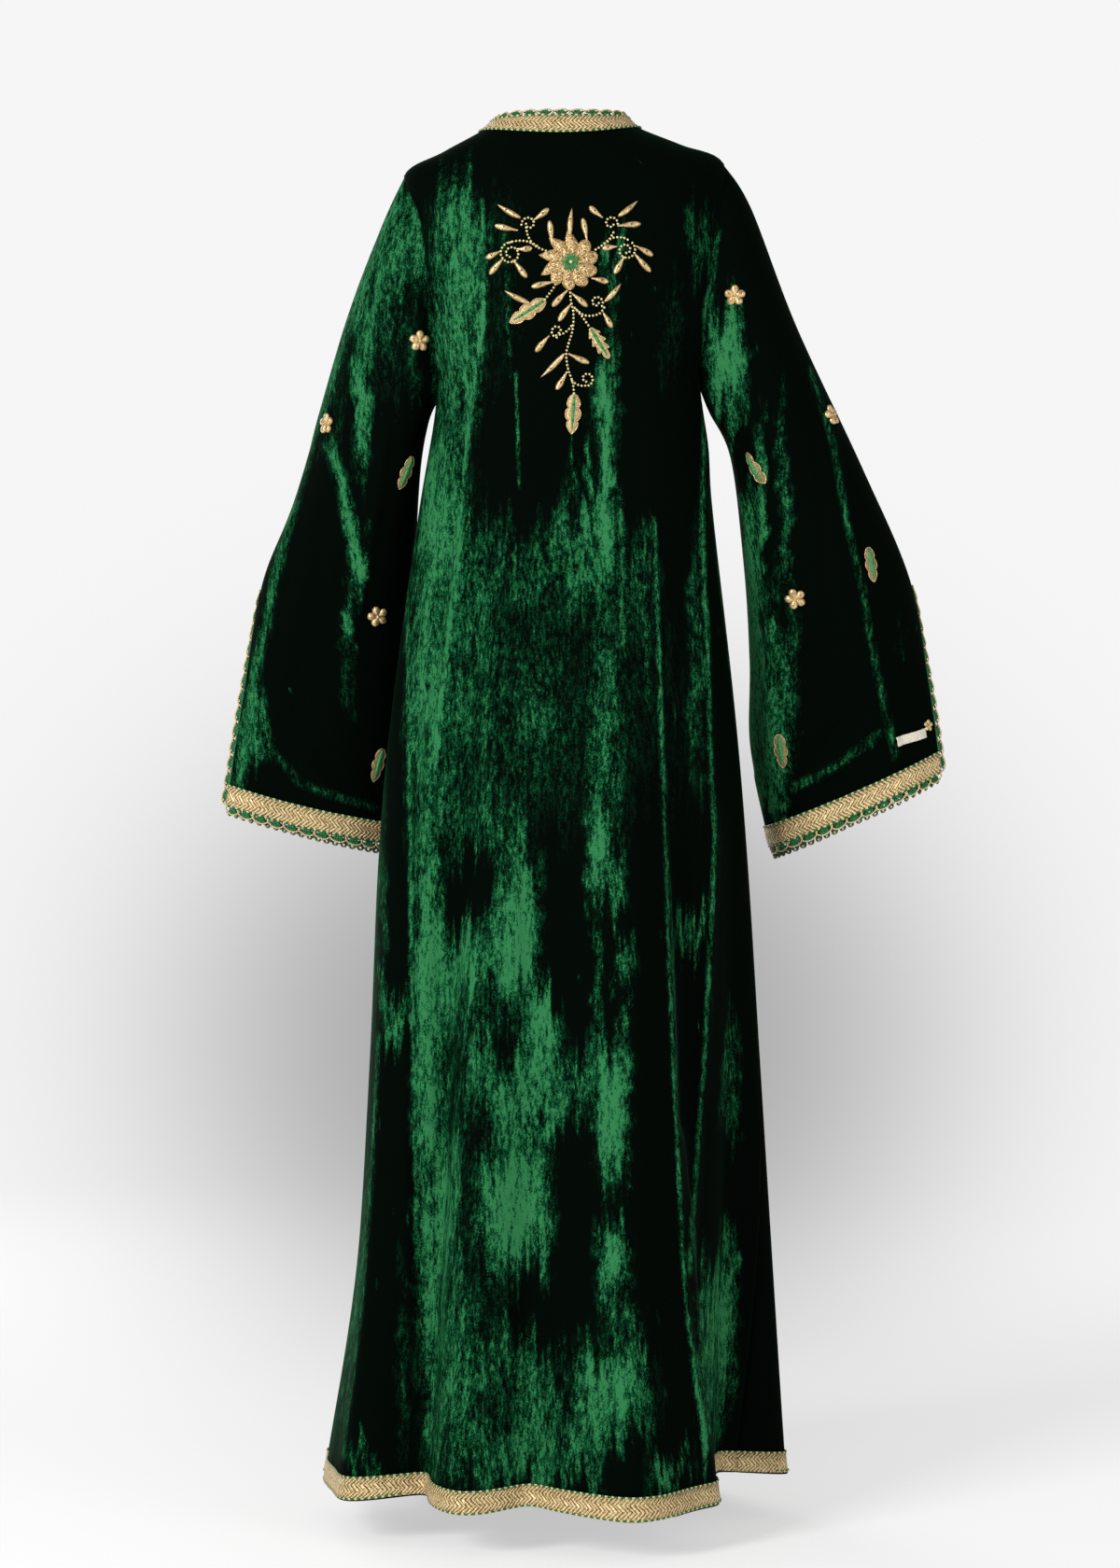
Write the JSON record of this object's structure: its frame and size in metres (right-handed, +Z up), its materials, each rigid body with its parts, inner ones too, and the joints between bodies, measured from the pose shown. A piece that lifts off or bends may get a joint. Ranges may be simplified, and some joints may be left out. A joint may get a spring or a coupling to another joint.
{
  "type": "kaftan",
  "caption": "Long velvet kaftan with wide sleeves slit along their outer edge, gold braids, looped edgings and a raised embroidered spray on the back, in its worn hollow form.",
  "frame": {"origin": "midway between the two shoulder seams where they meet the neck, where the wearer's shoulders hold the garment", "axes": "+Z up along the garment's length, the front faces -Y and the wearer's left is +X"},
  "size_m": [0.8478, 0.5158, 1.5994],
  "materials": {
    "velvet": "deep green crushed pile velvet",
    "gold_braid": "woven gold metal-thread braid with green edge stitches",
    "edging": "looped cord, green and gold",
    "embroidery": "padded gold thread work with green stitches",
    "button": "knotted gold thread",
    "ribbon": "plain cream satin ribbon"
  },
  "bodies": {
    "root": {"back_panel": "velvet", "front_left_panel": "velvet", "front_right_panel": "velvet", "sleeve_left": "velvet", "sleeve_right": "velvet", "neck_band": "gold_braid", "front_braid_left": "gold_braid", "front_braid_right": "gold_braid", "hem_band_back": "gold_braid", "hem_band_front_left": "gold_braid", "hem_band_front_right": "gold_braid", "cuff_band_left": "gold_braid", "cuff_band_right": "gold_braid", "neck_edging": "edging", "cuff_edging_left": "edging", "cuff_edging_right": "edging", "slit_edging_left_back": "edging", "slit_edging_left_front": "edging", "slit_edging_right_back": "edging", "slit_edging_right_front": "edging", "back_motif": "embroidery", "flower_left_1": "embroidery", "flower_left_2": "embroidery", "flower_left_3": "embroidery", "flower_right_1": "embroidery", "flower_right_2": "embroidery", "flower_right_3": "embroidery", "leaf_left_1": "embroidery", "leaf_left_2": "embroidery", "leaf_right_1": "embroidery", "leaf_right_2": "embroidery", "leaf_right_3": "embroidery", "ribbon_flower": "embroidery", "button_1": "button", "button_2": "button", "button_3": "button", "button_4": "button", "button_5": "button", "button_6": "button", "button_7": "button", "label": "ribbon"}
  },
  "joints": []
}
